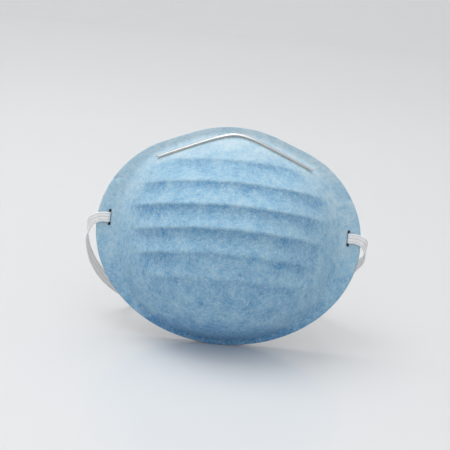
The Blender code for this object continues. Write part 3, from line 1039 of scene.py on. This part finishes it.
class DUSTMASK_OT_nose_strip(bpy.types.Operator):
    """Lay the bendable metal strip over the nose, on its bead of adhesive"""

    bl_idname = "dustmask.nose_strip"
    bl_label = "Nose strip"

    def execute(self, context):
        settings = context.scene.dust_mask_trim
        form = (STRIP_WIDTH, STRIP_THICKNESS, STRIP_LIFT, STRIP_CORNER, STRIP_TRIM)
        metal = rolled_metal("nose_strip_metal", settings.strip, roughness=0.34, grain=0.35)
        strip = laid_strip("nose_strip_metal", *form, metal)
        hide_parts("nose_strip")
        form = (
            ADHESIVE_WIDTH,
            ADHESIVE_THICKNESS,
            ADHESIVE_LIFT,
            ADHESIVE_CORNER,
            ADHESIVE_TRIM,
        )
        bead = laid_strip("adhesive_bead", *form, hot_melt("hot_melt", settings.adhesive))
        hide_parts("nose_strip_adhesive")
        return {"FINISHED"}


# --- The strap clips ----------------------------------------------------------------------------

CLIP_BEND = 0.00035
CRIMPS = (-0.0033, 0.0, 0.0033)
CRIMP_DEPTH, CRIMP_LENGTH = 0.00022, 0.0009
CLIP_STEPS = 52


def channel_section():
    """The clip's U, drawn along the middle of its wall, open towards the front."""
    half = (BAND_THICKNESS + 2 * CLEARANCE + CLIP_WALL) / 2
    floor, lip = CLIP_DEPTH / 2 - CLIP_WALL / 2, -CLIP_DEPTH / 2
    made = [Vector((-half, lip + (floor - CLIP_BEND - lip) * k / 4)) for k in range(4)]
    for side in (-1, 1):
        middle = Vector((side * (half - CLIP_BEND), floor - CLIP_BEND))
        for k in range(5):
            turn = math.pi / 8 * ((8 if side < 0 else 4) - k)
            made.append(middle + Vector((math.cos(turn), math.sin(turn))) * CLIP_BEND)
    made += [Vector((half, lip + (floor - CLIP_BEND - lip) * k / 4)) for k in (3, 2, 1, 0)]
    return made


class DUSTMASK_OT_strap_clips(bpy.types.Operator):
    """Crimp a steel channel on each end of the headband, behind its slit"""

    bl_idname = "dustmask.strap_clips"
    bl_label = "Strap clips"

    def execute(self, context):
        settings = context.scene.dust_mask_trim
        steel = rolled_metal("clip_steel", settings.clip, roughness=0.42, grain=0.5)
        section = channel_section()
        for name, side in (("left", -1), ("right", 1)):
            work = bmesh.new()
            bmesh.ops.create_grid(
                work, x_segments=CLIP_STEPS, y_segments=len(section) - 1, size=1.0
            )
            centre = Vector(
                (side * SLIT_OUT, STACK + CLEARANCE + CLIP_DEPTH / 2, SLIT_RISE)
            )
            for vertex in work.verts:
                x, y = section[round((vertex.co.y + 1) / 2 * (len(section) - 1))]
                z = vertex.co.x * CLIP_LENGTH / 2
                for crimp in CRIMPS:
                    pressed = math.exp(-(((z - crimp) / CRIMP_LENGTH * 2) ** 2))
                    x -= math.copysign(CRIMP_DEPTH * pressed * smooth_step(0.9 - abs(y) * 900), x)
                vertex.co = centre + Vector((x, y, z))
            bmesh.ops.recalc_face_normals(work, faces=work.faces)
            bmesh.ops.solidify(work, geom=work.faces[:], thickness=CLIP_WALL)
            made = finished(f"{name}_crimped_clip", work, steel, placed())
            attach(made, "mask_body")
            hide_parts(f"{name}_strap_clip")
        return {"FINISHED"}


# --- Panel --------------------------------------------------------------------------------------

OPERATORS = (
    DUSTMASK_OT_stage,
    DUSTMASK_OT_headband,
    DUSTMASK_OT_cup,
    DUSTMASK_OT_nose_strip,
    DUSTMASK_OT_strap_clips,
)


class DUSTMASK_PT_panel(bpy.types.Panel):
    """The mask's pieces and their settings"""

    bl_idname = "DUSTMASK_PT_panel"
    bl_label = "Dust mask"
    bl_space_type = "VIEW_3D"
    bl_region_type = "UI"
    bl_category = "Dust mask"

    def draw(self, context):
        for operator in OPERATORS:
            self.layout.operator(operator.bl_idname)
        for name, group in SETTINGS.items():
            settings = getattr(context.scene, name)
            column = self.layout.column()
            for field in group.__annotations__:
                column.prop(settings, field)


def register():
    for group in SETTINGS.values():
        bpy.utils.register_class(group)
    for made in (*OPERATORS, DUSTMASK_PT_panel):
        bpy.utils.register_class(made)
    for name, group in SETTINGS.items():
        setattr(bpy.types.Scene, name, bpy.props.PointerProperty(type=group))


def unregister():
    for name in SETTINGS:
        delattr(bpy.types.Scene, name)
    for made in (DUSTMASK_PT_panel, *reversed(OPERATORS)):
        bpy.utils.unregister_class(made)
    for group in SETTINGS.values():
        bpy.utils.unregister_class(group)


def main():
    register()
    bpy.ops.dustmask.stage()
    bpy.ops.dustmask.headband()
    bpy.ops.dustmask.cup()
    bpy.ops.dustmask.nose_strip()
    bpy.ops.dustmask.strap_clips()


if __name__ == "__main__":
    main()
